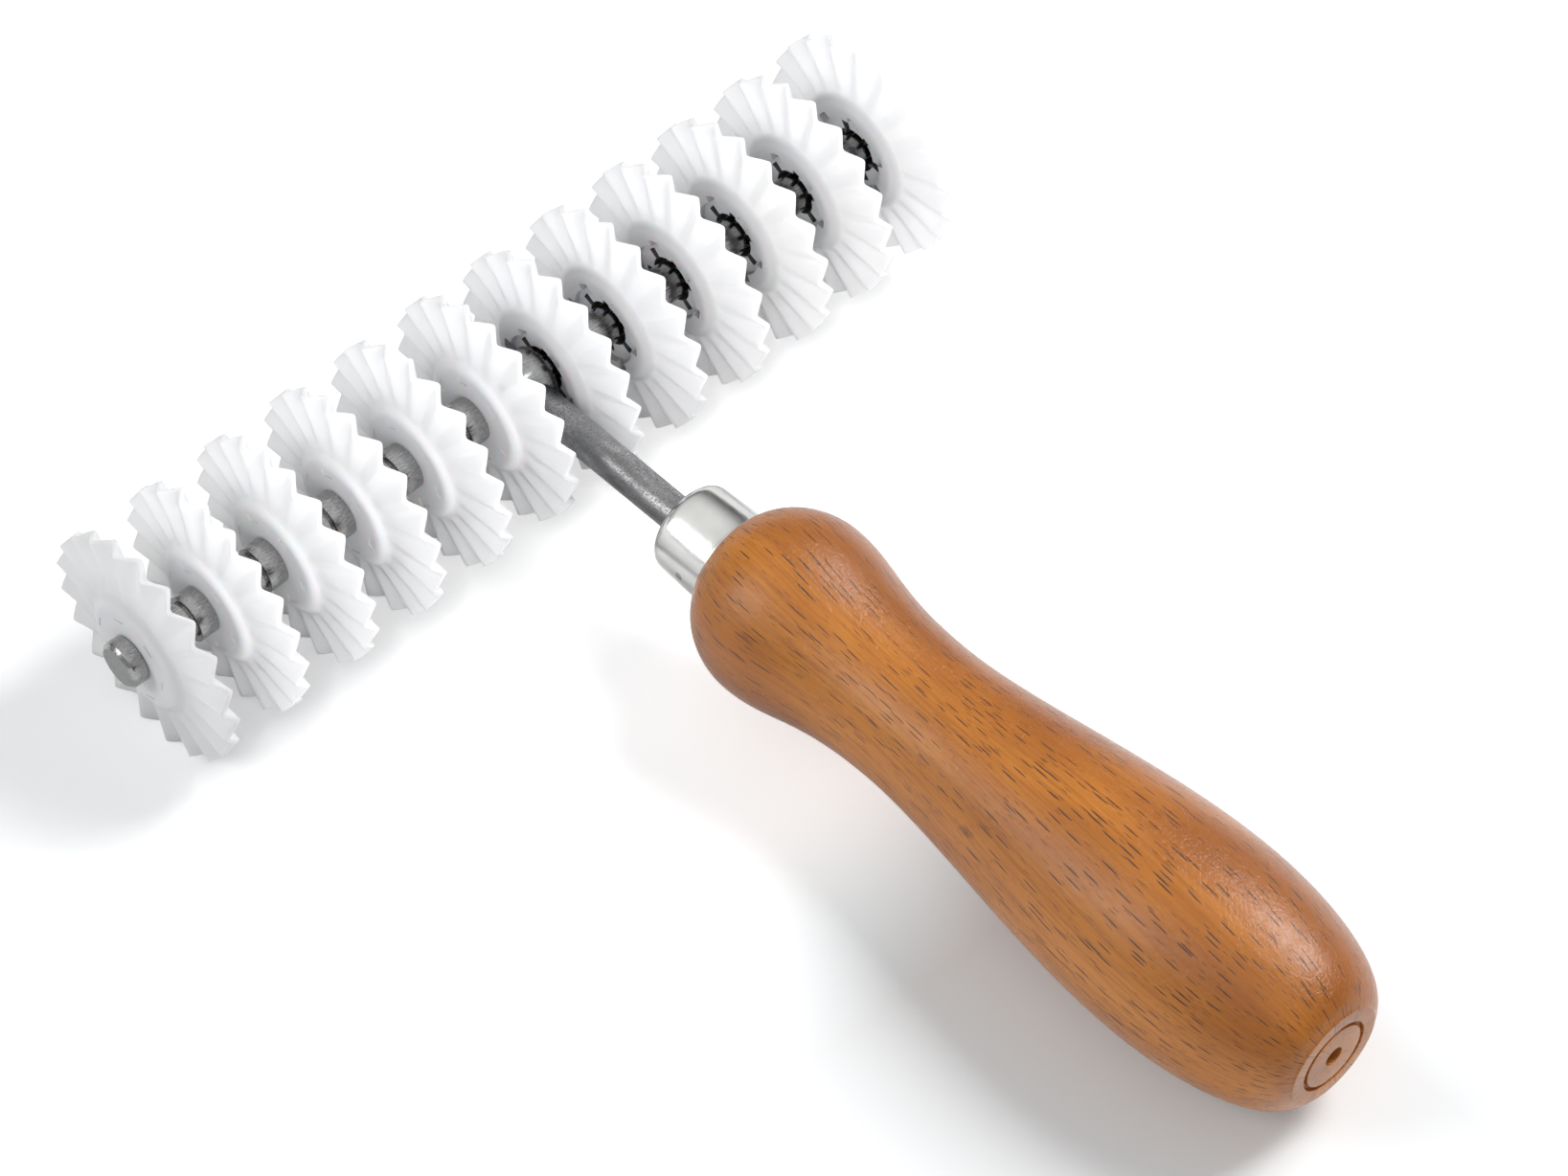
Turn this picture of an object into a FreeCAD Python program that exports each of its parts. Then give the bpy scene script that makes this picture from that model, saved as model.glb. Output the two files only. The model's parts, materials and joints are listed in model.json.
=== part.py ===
"""Gang tracing wheel: twelve pleated plastic wheels on one axle, with a turned wooden handle.

Frame: millimetres, +Z up, X along the axle, the handle runs towards -Y.
The tool lies as it is put down on a table, on its wheels and on the belly of its handle.
The origin is on the table, under the middle of the tool.
"""
import FreeCAD, Part

import math
import os

Vector = FreeCAD.Vector
X_AXIS = Vector(1, 0, 0)
Y_AXIS = Vector(0, 1, 0)
CENTRE = Vector(0, 0, 0)

# ---- wheels -------------------------------------------------------------
wheel_diameter = 40.0
wheels_per_side = 6
wheel_pitch = 13.5
tooth_count = 20
tooth_rise = 2.1          # how far the rim swings along the axle, peak to peak
rim_land = 0.9            # thickness of the plate at the rim
pleat_start_diameter = 20.8
plate_root_thickness = 3.3
falling_share = 0.48      # share of a tooth's pitch taken by its first flank

hub_width = 5.7
hub_diameter = 18.4
hub_flare = 1.5           # how far the hub's edge slopes out into the plate
flare_edge_depth = 0.15   # how far the slope ends below the plate's surface

journal_length = 2.6      # the short bore that runs on the axle, at the outboard face
recess_diameter = 8.0     # bore round the next spacer's neck
recess_key_count = 6
recess_key_width = 1.4
recess_key_depth = 1.8
counterbore_diameter = 13.4
counterbore_depth = 1.2
counterbore_key_width = 2.2
counterbore_key_depth = 1.3

# how far each wheel has been turned by chance, left to right, in degrees
wheel_turns = (11.2, 7.0, 0.0, 12.0, 5.0, 15.0, 6.3, 177.5, 12.0, 0.0, 6.0, 155.2)

# ---- axle, spacers and end caps -------------------------------------------
axle_diameter = 5.0
running_clearance = 0.05  # radial, wheel on axle
seat_clearance = 0.02     # radial, pieces that are fixed to each other
end_play = 0.1            # along the axle, on each side of a wheel's web
collar_diameter = 8.0
collar_length = 3.3
neck_diameter = 6.4
turned_chamfer = 0.25
cap_length = 2.9
cap_chamfer = 0.6
cap_seat_depth = 1.9      # depth of the hole in the cap that takes the axle's end

# ---- cross head and shank -------------------------------------------------
cross_head_diameter = 10.0
shank_diameter = 6.0
shank_spigot_diameter = 4.0
shank_spigot_length = 1.6
tang_length = 42.0
tang_tip_diameter = 4.0
tang_taper_length = 12.0

# ---- ferrule --------------------------------------------------------------
ferrule_distance = 38.6   # from the axle's centre line to the ferrule's front
ferrule_length = 11.3
ferrule_front_diameter = 15.4
ferrule_back_diameter = 16.3
ferrule_wall = 0.9
ferrule_round = 1.8
ferrule_lip_height = 0.24
ferrule_lip_width = 0.5
pin_diameter = 1.4
pin_length = 4.5
pin_proud = 0.1           # how far the pin's head stands out of the ferrule
pin_set_back = 6.8        # from the ferrule's front to the pin

# ---- handle ---------------------------------------------------------------
handle_length = 122.5     # from the ferrule's back edge to the butt
shoulder_diameter = 16.8
bulb_diameter = 31.1
bulb_distance = 12.0
waist_diameter = 24.1
waist_distance = 39.0
belly_diameter = 34.7
belly_from_butt = 28.5
butt_diameter = 17.0
# how full the outline is on each side of a turning point: the run of its curve,
# as a share of the stretch it crosses
shoulder_run = 0.06
shoulder_rise = 0.45
bulb_front_run = 0.53
bulb_back_run = 0.30
waist_front_run = 0.59
waist_back_run = 0.27
belly_front_run = 0.35
belly_back_run = 0.46
butt_run = 0.08
butt_rise = 0.67
butt_hole_diameter = 3.2
butt_hole_depth = 12.0
butt_ring_diameter = 11.6
butt_ring_width = 0.7
butt_ring_depth = 0.8

# ---- worked out from the sizes above --------------------------------------
wheel_radius = wheel_diameter / 2
axle_radius = axle_diameter / 2
hub_half = hub_width / 2
gap_between_hubs = wheel_pitch - hub_width
cross_head_length = gap_between_hubs - 2 * end_play
web_inner = hub_half - journal_length
spacer_length = wheel_pitch - journal_length - 2 * end_play
inner_sleeve_length = hub_width - journal_length
outermost_wheel = (wheels_per_side - 0.5) * wheel_pitch
cap_start = outermost_wheel + hub_half + end_play
axle_half_length = cap_start + cap_seat_depth
neck_wall = (neck_diameter - axle_diameter) / 2 - seat_clearance
neck_chamfer = min(turned_chamfer, neck_wall / 2)
shoulder_distance = ferrule_distance + ferrule_length
butt_distance = shoulder_distance + handle_length
tooth_angle = 360.0 / tooth_count


def cylinder(diameter, length, start=0.0, axis=X_AXIS):
    """A rod whose near end is at start along the axis."""
    return Part.makeCylinder(diameter / 2, length, axis * start, axis)


def chamfered_rod(diameter, length, chamfer, start=0.0):
    """A turned rod along X with both ends chamfered."""
    radius = diameter / 2
    outline = [
        Vector(start, 0, 0),
        Vector(start, radius - chamfer, 0),
        Vector(start + chamfer, radius, 0),
        Vector(start + length - chamfer, radius, 0),
        Vector(start + length, radius - chamfer, 0),
        Vector(start + length, 0, 0),
    ]
    return revolve(outline, X_AXIS)


def revolve(points, axis):
    """A full turn of a closed outline of straight lines."""
    wire = Part.makePolygon(points + [points[0]])
    return Part.Face(wire).revolve(CENTRE, axis, 360)


def on_wheel(radius, degrees, along):
    """A point on a wheel, by its distance from the axle, its angle and its place along X."""
    turn = math.radians(degrees)
    return Vector(along, -radius * math.sin(turn), radius * math.cos(turn))


def facet(points):
    return Part.Face(Part.makePolygon(points + [points[0]]))


def pleated_plate():
    """The thin plate of a wheel: its rim swings from side to side, once for each tooth."""
    inner = hub_diameter / 2 - 2 * hub_flare
    root = pleat_start_diameter / 2
    root_half = plate_root_thickness / 2
    swing = tooth_rise / 2
    land = rim_land / 2
    faces = []
    for tooth in range(tooth_count):
        crest = tooth * tooth_angle
        valley = crest + falling_share * tooth_angle
        for first, second, tilt in ((crest, valley, 1), (valley, crest + tooth_angle, -1)):
            for side in (1, -1):
                a = on_wheel(inner, first, side * root_half)
                b = on_wheel(inner, second, side * root_half)
                c = on_wheel(root, second, side * root_half)
                d = on_wheel(root, first, side * root_half)
                e = on_wheel(wheel_radius, second, side * land - tilt * swing)
                f = on_wheel(wheel_radius, first, side * land + tilt * swing)
                faces.append(facet([a, b, c, d]))
                faces.append(facet([d, c, e]))
                faces.append(facet([d, e, f]))
            faces.append(facet([
                on_wheel(wheel_radius, first, land + tilt * swing),
                on_wheel(wheel_radius, second, land - tilt * swing),
                on_wheel(wheel_radius, second, -land - tilt * swing),
                on_wheel(wheel_radius, first, -land + tilt * swing),
            ]))
            faces.append(facet([
                on_wheel(inner, first, root_half),
                on_wheel(inner, second, root_half),
                on_wheel(inner, second, -root_half),
                on_wheel(inner, first, -root_half),
            ]))
    shell = Part.makeShell(faces)
    shell.sewShape()
    plate = Part.makeSolid(shell)
    if plate.Volume < 0:
        plate.reverse()
    return plate


def key_slots(count, width, inner_radius, depth, start, length, first_angle):
    """Square notches round a bore, joined into one cutter."""
    slots = []
    for number in range(count):
        slot = Part.makeBox(length, width, inner_radius + depth, Vector(start, -width / 2, 0))
        slot.rotate(CENTRE, X_AXIS, first_angle + number * 360.0 / count)
        slots.append(slot)
    return slots[0].multiFuse(slots[1:])


def wheel_blank():
    """One wheel centred on the axle, with its outboard face towards +X."""
    rim_of_hub = hub_diameter / 2
    flare_root = rim_of_hub + hub_flare
    flare_height = plate_root_thickness / 2 - flare_edge_depth
    hub = revolve([
        Vector(-hub_half, 0, 0),
        Vector(-hub_half, rim_of_hub, 0),
        Vector(-flare_height, flare_root, 0),
        Vector(flare_height, flare_root, 0),
        Vector(hub_half, rim_of_hub, 0),
        Vector(hub_half, 0, 0),
    ], X_AXIS)
    wheel = hub.fuse(pleated_plate())
    inboard = -hub_half
    counterbore = cylinder(counterbore_diameter, counterbore_depth, inboard)
    recess = cylinder(recess_diameter, web_inner - inboard, inboard)
    journal = cylinder(axle_diameter + 2 * running_clearance, hub_width, inboard)
    half_step = 180.0 / recess_key_count
    deep_keys = key_slots(
        recess_key_count, recess_key_width, recess_diameter / 2, recess_key_depth,
        inboard, web_inner - inboard, 0.0)
    shallow_keys = key_slots(
        recess_key_count, counterbore_key_width, counterbore_diameter / 2, counterbore_key_depth,
        inboard, counterbore_depth, half_step)
    wheel = wheel.cut([counterbore, recess, journal, deep_keys, shallow_keys])
    return wheel.Solids[0]


def spacer():
    """The turned sleeve outboard of a wheel: a collar, then a neck into the next wheel."""
    collar = chamfered_rod(collar_diameter, collar_length, turned_chamfer)
    neck = chamfered_rod(neck_diameter, spacer_length, neck_chamfer)
    bore = cylinder(axle_diameter + 2 * seat_clearance, spacer_length)
    return collar.fuse(neck).cut(bore).removeSplitter()


def inner_sleeve():
    """The plain sleeve between the cross head and the web of the first wheel."""
    sleeve = chamfered_rod(neck_diameter, inner_sleeve_length, neck_chamfer)
    return sleeve.cut(cylinder(axle_diameter + 2 * seat_clearance, inner_sleeve_length))


def end_cap():
    """The plain cap on the end of the axle, chamfered on its outer edge."""
    radius = collar_diameter / 2
    cap = revolve([
        Vector(0, 0, 0),
        Vector(0, radius, 0),
        Vector(cap_length - cap_chamfer, radius, 0),
        Vector(cap_length, radius - cap_chamfer, 0),
        Vector(cap_length, 0, 0),
    ], X_AXIS)
    return cap.cut(cylinder(axle_diameter + 2 * seat_clearance, cap_seat_depth))


def cross_head():
    """The turned block in the middle of the axle that carries the shank."""
    half = cross_head_length / 2
    block = chamfered_rod(cross_head_diameter, cross_head_length, turned_chamfer, -half)
    bore = cylinder(axle_diameter + 2 * seat_clearance, cross_head_length, -half)
    flat_depth = cross_head_diameter / 2 - shank_seat_distance()
    flat = Part.makeBox(
        cross_head_length, flat_depth, cross_head_diameter,
        Vector(-half, -cross_head_diameter / 2, -cross_head_diameter / 2))
    socket = cylinder(
        shank_spigot_diameter + 2 * seat_clearance, cross_head_diameter / 2 - axle_radius,
        axle_radius, -Y_AXIS)
    return block.cut([bore, flat, socket])


def shank_seat_distance():
    """How far from the axle's centre line the shank's shoulder bears on the cross head."""
    return axle_radius + shank_spigot_length


def shank():
    """The round rod from the cross head into the handle, with a spigot and a tapered tang."""
    seat = shank_seat_distance()
    full_end = shoulder_distance + tang_length - tang_taper_length
    tip = shoulder_distance + tang_length
    spigot_start = axle_radius + seat_clearance
    return revolve([
        Vector(0, -spigot_start, 0),
        Vector(shank_spigot_diameter / 2, -spigot_start, 0),
        Vector(shank_spigot_diameter / 2, -seat, 0),
        Vector(shank_diameter / 2, -seat, 0),
        Vector(shank_diameter / 2, -full_end, 0),
        Vector(tang_tip_diameter / 2, -tip, 0),
        Vector(0, -tip, 0),
    ], Y_AXIS)


def ferrule_radius(distance):
    """Outer radius of the ferrule at a distance from its front face."""
    share = distance / ferrule_length
    return (ferrule_front_diameter * (1 - share) + ferrule_back_diameter * share) / 2


def ferrule():
    """A drawn metal cup with a rounded front edge and a small rolled lip."""
    front = ferrule_distance
    back = shoulder_distance
    radius = ferrule_round
    corner = ferrule_radius(radius)
    middle = math.sqrt(0.5) * radius
    start = Vector(0, -front, 0)
    nose = Vector(corner - radius, -front, 0)
    bend = Vector(corner - radius + middle, -front - radius + middle, 0)
    side = Vector(corner, -front - radius, 0)
    lip_root = Vector(ferrule_radius(ferrule_length - ferrule_lip_width), -back + ferrule_lip_width, 0)
    lip_radius = ferrule_back_diameter / 2 + ferrule_lip_height
    lip_top = Vector(lip_radius, -back + ferrule_lip_width / 2, 0)
    lip_end = Vector(ferrule_radius(ferrule_length), -back, 0)
    axis_end = Vector(0, -back, 0)
    edges = [
        Part.LineSegment(start, nose).toShape(),
        Part.Arc(nose, bend, side).toShape(),
        Part.LineSegment(side, lip_root).toShape(),
        Part.Arc(lip_root, lip_top, lip_end).toShape(),
        Part.LineSegment(lip_end, axis_end).toShape(),
        Part.LineSegment(axis_end, start).toShape(),
    ]
    cup = Part.Face(Part.Wire(edges)).revolve(CENTRE, Y_AXIS, 360)
    hollow = tenon(0.0)
    shank_hole = cylinder(shank_diameter + 2 * seat_clearance, ferrule_length, front, -Y_AXIS)
    return cup.cut([hollow, shank_hole, pin_hole()])


def tenon(clearance):
    """The turned end of the handle inside the ferrule."""
    front = ferrule_distance + ferrule_wall + clearance
    front_radius = ferrule_radius(0) - ferrule_wall - clearance - ferrule_round / 2
    middle_radius = ferrule_radius(ferrule_round) - ferrule_wall - clearance
    back_radius = ferrule_radius(ferrule_length) - ferrule_wall - clearance
    return revolve([
        Vector(0, -front, 0),
        Vector(front_radius, -front, 0),
        Vector(middle_radius, -front - ferrule_round / 2, 0),
        Vector(back_radius, -shoulder_distance, 0),
        Vector(0, -shoulder_distance, 0),
    ], Y_AXIS)


def pin_outside():
    """How far from the handle's centre line the pin's head stands."""
    return ferrule_radius(pin_set_back) + pin_proud


def pin_hole():
    """The hole for the pin, as deep as the pin is long."""
    start = -pin_outside() - ferrule_wall
    place = Vector(start, -ferrule_distance - pin_set_back, 0)
    radius = pin_diameter / 2 + seat_clearance
    return Part.makeCylinder(radius, pin_length + ferrule_wall, place, X_AXIS)


def ferrule_pin():
    """A small nail through the ferrule's side, filed nearly flush."""
    place = Vector(-pin_outside(), -ferrule_distance - pin_set_back, 0)
    return Part.makeCylinder(pin_diameter / 2, pin_length, place, X_AXIS)


def handle_curves():
    """The handle's outline from its shoulder to its butt, as four smooth curves."""
    shoulder = shoulder_diameter / 2
    bulb = bulb_diameter / 2
    waist = waist_diameter / 2
    belly = belly_diameter / 2
    butt = butt_diameter / 2
    belly_distance = handle_length - belly_from_butt
    neck_run = waist_distance - bulb_distance
    long_run = belly_distance - waist_distance
    steps = [
        [(0, shoulder),
         (shoulder_run * bulb_distance, shoulder + shoulder_rise * (bulb - shoulder)),
         ((1 - bulb_front_run) * bulb_distance, bulb),
         (bulb_distance, bulb)],
        [(bulb_distance, bulb),
         (bulb_distance + bulb_back_run * neck_run, bulb),
         (waist_distance - waist_front_run * neck_run, waist),
         (waist_distance, waist)],
        [(waist_distance, waist),
         (waist_distance + waist_back_run * long_run, waist),
         (belly_distance - belly_front_run * long_run, belly),
         (belly_distance, belly)],
        [(belly_distance, belly),
         (belly_distance + belly_back_run * belly_from_butt, belly),
         (handle_length - butt_run * belly_from_butt, butt + butt_rise * (belly - butt)),
         (handle_length, butt)],
    ]
    curves = []
    for poles in steps:
        curve = Part.BezierCurve()
        curve.setPoles([Vector(radius, -shoulder_distance - along, 0) for along, radius in poles])
        curves.append(curve)
    return curves


def handle():
    """The turned beech handle, with its tenon, its bore for the tang and its butt details."""
    curves = handle_curves()
    top = Vector(0, -shoulder_distance, 0)
    end = Vector(0, -butt_distance, 0)
    edges = [Part.LineSegment(top, curves[0].value(0)).toShape()]
    edges += [curve.toShape() for curve in curves]
    edges.append(Part.LineSegment(curves[-1].value(1), end).toShape())
    edges.append(Part.LineSegment(end, top).toShape())
    body = Part.Face(Part.Wire(edges)).revolve(CENTRE, Y_AXIS, 360)
    body = body.fuse(tenon(seat_clearance))
    full_end = shoulder_distance + tang_length - tang_taper_length
    tip = shoulder_distance + tang_length + seat_clearance
    bore_radius = shank_diameter / 2 + seat_clearance
    bore = revolve([
        Vector(0, -ferrule_distance, 0),
        Vector(bore_radius, -ferrule_distance, 0),
        Vector(bore_radius, -full_end, 0),
        Vector(tang_tip_diameter / 2 + seat_clearance, -tip, 0),
        Vector(0, -tip, 0),
    ], Y_AXIS)
    butt_hole = cylinder(butt_hole_diameter, butt_hole_depth, butt_distance - butt_hole_depth, -Y_AXIS)
    ring_start = butt_distance - butt_ring_depth
    ring = cylinder(butt_ring_diameter + butt_ring_width, butt_ring_depth, ring_start, -Y_AXIS)
    ring = ring.cut(cylinder(
        butt_ring_diameter - butt_ring_width, butt_ring_depth, ring_start, -Y_AXIS))
    return body.cut([bore, butt_hole, ring, pin_hole()]).Solids[0]


def resting_tilt():
    """The angle that brings the belly of the handle down to the table."""
    outline = []
    for curve in handle_curves():
        outline += [curve.value(step / 200.0) for step in range(201)]
    low = 0.0
    high = 45.0
    for _ in range(60):
        angle = (low + high) / 2
        turn = math.radians(angle)
        reach = max(-point.y * math.sin(turn) + point.x * math.cos(turn) for point in outline)
        if reach > wheel_radius:
            high = angle
        else:
            low = angle
    return low


def mirrored(shape):
    """The same piece turned end for end, for the left side of the tool."""
    turned = shape.copy()
    turned.rotate(CENTRE, Vector(0, 0, 1), 180)
    return turned


def placed(shape, along):
    copy = shape.copy()
    copy.translate(Vector(along, 0, 0))
    return copy


def build():
    """Every piece by name, with the axle's centre line on the X axis."""
    pieces = {
        "handle": handle(),
        "ferrule": ferrule(),
        "ferrule_pin": ferrule_pin(),
        "shank": shank(),
        "cross_head": cross_head(),
    }
    tilt = resting_tilt()
    for piece in pieces.values():
        piece.rotate(CENTRE, X_AXIS, tilt)
    pieces["axle_rod"] = chamfered_rod(
        axle_diameter, 2 * axle_half_length, turned_chamfer, -axle_half_length)
    cap = end_cap()
    pieces["end_cap_left"] = placed(mirrored(cap), -cap_start)
    pieces["end_cap_right"] = placed(cap, cap_start)
    sleeve = inner_sleeve()
    sleeve_start = cross_head_length / 2
    pieces["inner_sleeve_left"] = placed(mirrored(sleeve), -sleeve_start)
    pieces["inner_sleeve_right"] = placed(sleeve, sleeve_start)
    blank = wheel_blank()
    sleeve_with_collar = spacer()
    wheel_count = 2 * wheels_per_side
    for number in range(wheel_count):
        along = (number - wheels_per_side + 0.5) * wheel_pitch
        right = number >= wheels_per_side
        wheel = blank.copy() if right else mirrored(blank)
        wheel.rotate(CENTRE, X_AXIS, wheel_turns[number])
        pieces["wheel_%02d" % (number + 1)] = placed(wheel, along)
        face = along + (hub_half + end_play if right else -hub_half - end_play)
        if 0 < number < wheel_count - 1:
            turned = sleeve_with_collar if right else mirrored(sleeve_with_collar)
            pieces["spacer_%02d" % number] = placed(turned, face)
    return pieces


def main():
    pieces = build()
    whole = Part.makeCompound(list(pieces.values()))
    box = whole.optimalBoundingBox(False, False)
    shift = Vector(0, -(box.YMin + box.YMax) / 2, wheel_radius)
    os.makedirs("parts", exist_ok=True)
    for name, piece in pieces.items():
        piece.translate(shift)
        piece.exportStep("parts/%s.step" % name)
    print("axle centre line: y %.4f z %.4f mm" % (shift.y, shift.z))
    print("handle tilt: %.4f degrees" % resting_tilt())
    print("size: %.3f x %.3f x %.3f mm" % (box.XLength, box.YLength, box.ZLength))
    print("lowest point before the shift: %.4f mm" % box.ZMin)
    for name, piece in pieces.items():
        print("%-20s solids %d valid %s volume %.3f" % (
            name, len(piece.Solids), piece.isValid(), piece.Volume))


main()
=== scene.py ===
"""Gang tracing wheel: twelve pleated nylon wheels on a steel axle, with a turned beech handle.

Every piece is turned or moulded from an outline, so each one is an outline and a rule:
one node tree turns an outline about the axle, and a second one also pleats the disc and
cuts the key notches of a wheel. The file is laid out as an add-on and is run as a script.
"""
import json
import math
from functools import partialmethod

import bmesh
import bpy
from bpy.props import FloatProperty, FloatVectorProperty, IntProperty, PointerProperty
from mathutils import Matrix, Vector

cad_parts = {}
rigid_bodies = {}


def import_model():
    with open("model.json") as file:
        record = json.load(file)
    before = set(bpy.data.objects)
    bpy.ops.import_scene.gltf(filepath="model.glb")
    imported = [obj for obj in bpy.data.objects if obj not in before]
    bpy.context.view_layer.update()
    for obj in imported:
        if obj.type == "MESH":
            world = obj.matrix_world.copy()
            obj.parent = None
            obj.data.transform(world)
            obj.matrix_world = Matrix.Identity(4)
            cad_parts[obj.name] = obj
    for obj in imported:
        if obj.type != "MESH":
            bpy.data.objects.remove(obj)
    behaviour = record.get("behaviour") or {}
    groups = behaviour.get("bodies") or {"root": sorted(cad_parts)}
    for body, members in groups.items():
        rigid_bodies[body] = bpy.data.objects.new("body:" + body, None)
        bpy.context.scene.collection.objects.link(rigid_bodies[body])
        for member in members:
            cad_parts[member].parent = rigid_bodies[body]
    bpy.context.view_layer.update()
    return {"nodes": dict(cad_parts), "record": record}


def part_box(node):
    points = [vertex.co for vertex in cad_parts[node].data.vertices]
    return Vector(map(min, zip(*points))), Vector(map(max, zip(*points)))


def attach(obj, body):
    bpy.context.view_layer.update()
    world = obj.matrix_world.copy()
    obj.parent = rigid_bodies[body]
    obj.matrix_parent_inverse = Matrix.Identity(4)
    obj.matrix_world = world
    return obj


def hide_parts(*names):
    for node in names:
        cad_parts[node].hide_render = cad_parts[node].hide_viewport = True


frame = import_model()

bl_info = {
    "name": "Gang Tracing Wheel",
    "version": (1, 0, 0),
    "blender": (4, 5, 0),
    "location": "3D View > Sidebar > Tracing Wheel",
    "description": "Makes the wheels, axle stack, shank and handle of a gang tracing wheel",
    "category": "Object",
}

MM = 0.001
FRAME_BODY = "frame"
SINK_DEPTH = 0.1
DEEP_KEY_HALF = 0.145
SHALLOW_KEY_HALF = 0.155

# how far each wheel has been turned by chance, from the left, in degrees
WHEEL_TURNS = (11.2, 7.0, 0.0, 12.0, 5.0, 15.0, 6.3, 177.5, 12.0, 0.0, 6.0, 155.2)
WHEEL_COUNT = len(WHEEL_TURNS)


# ---- where things are, read from the frame ---------------------------------
def middle(node):
    low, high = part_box(node)
    return (Vector(low) + Vector(high)) / 2


def long_way(node, axis=0):
    """A node's size along an axis, in millimetres."""
    low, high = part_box(node)
    return (high[axis] - low[axis]) / MM


def mount(name):
    return next(entry for entry in frame["record"]["mounts"] if entry["name"] == name)


AXLE = middle("axle_rod")
HANDLE_AXIS = Vector(mount("hanging_hole")["axis"]).normalized()
HANDLE_TILT = math.atan2(-HANDLE_AXIS.z, -HANDLE_AXIS.y)
BUTT_DISTANCE = (Vector(mount("butt_face")["pos_m"]) - AXLE).dot(HANDLE_AXIS) / MM
WHEEL_RADIUS = (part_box("wheel_03")[1][2] - AXLE.z) / MM
HUB_HALF = long_way("wheel_03") / 2
LEFT, RIGHT = math.pi, 0.0
DOWN_THE_HANDLE = -math.pi / 2

# the hub's steps, as distances from the axle in metres, with a little to spare; the nylon finish
# places its painted shade and painted shadow by them
BORE_REACH = 0.00402
NOTCH_REACH = 0.00595
STEP_REACH = 0.0083
RECESS_EDGE = (0.0066, 0.0068)
HUB_EDGE = (0.0098, 0.0112)
WALL_FACING = 0.5

# the handle's profile, for winding the wood's flecks round it, in metres
WINDING_RADIUS = 0.014
WINDING_TWIST = 4.3
MEAN_RADIUS = 0.017
WAIST_TO_BUTT = (-0.062, -0.144)

# handle curves: where the two middle poles of each curve stand, as shares of its run and rise
SHOULDER_POLES = ((0.06, 0.45), (0.47, 1.0))
WAIST_POLES = (0.30, 0.59)
BELLY_POLES = (0.27, 0.35)
BUTT_POLES = ((0.46, 0.0), (0.08, 0.67))
BUTT_CHAMFER = 0.25

# lamps: place, target, width and height in metres, setting with the power, mirrored or not
LAMPS = {
    "key_lamp": ((0.71, -0.20, 0.88), (0.0, 0.0, 0.0), (0.5, 0.5), "key_power", True),
    "fill_lamp": ((-0.45, -0.50, 0.70), (0.0, 0.0, 0.0), (0.7, 0.7), "fill_power", False),
    "wheel_lamp": ((-0.19, -0.41, 0.32), tuple(AXLE), (0.4, 0.4), "wheel_power", False),
    "window_lamp": ((-0.66, 0.42, 0.56), (0.0, -0.02, 0.0), (0.36, 0.5), "window_power", True),
}
CAMERA_PLACE = (-0.30560, -0.33043, 0.58959)
CAMERA_FORWARD = (0.41788, 0.47365, -0.77527)
CAMERA_SIDE = (0.72748, -0.68560, -0.02675)
SENSOR_WIDTH = 36.0
FLOOR_REACH = 6.0
FLOOR_DROP = 0.00002
WHITE = (1.0, 1.0, 1.0, 1.0)


# ---- outlines ---------------------------------------------------------------
def eased(corners, closed=False, steps=4):
    """Corners as (along, radius), or with a rounding that is drawn as a short curve."""
    points = []
    for number, (along, radius, *rounding) in enumerate(corners):
        here = Vector((along, radius))
        if not rounding:
            points.append(here)
            continue
        before = Vector(corners[number - 1][:2])
        after = Vector(corners[(number + 1) % len(corners)][:2])
        start = here + (before - here).normalized() * rounding[0]
        end = here + (after - here).normalized() * rounding[0]
        for step in range(steps + 1):
            share = step / steps
            points.append(
                start * (1 - share) ** 2 + here * 2 * share * (1 - share) + end * share ** 2)
    if closed:
        points.append(points[0].copy())
    return points


def tube(start, end, bore, radius, rounding):
    return eased([
        (start, bore), (start, radius, rounding), (end, radius, rounding), (end, bore)], True)


def filled_in(points, longest):
    """The same outline with no straight run longer than the given length."""
    out = [points[0]]
    for point in points[1:]:
        start = out[-1]
        parts = max(1, math.ceil((point - start).length / longest))
        out += [start.lerp(point, (part + 1) / parts) for part in range(parts)]
    return out


def bezier(poles, steps):
    """Points on a cubic curve, without its first one."""
    a, b, c, d = (Vector(pole) for pole in poles)
    points = []
    for step in range(1, steps + 1):
        s = step / steps
        t = 1 - s
        points.append(a * t ** 3 + b * 3 * s * t ** 2 + c * 3 * s * s * t + d * s ** 3)
    return points


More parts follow.
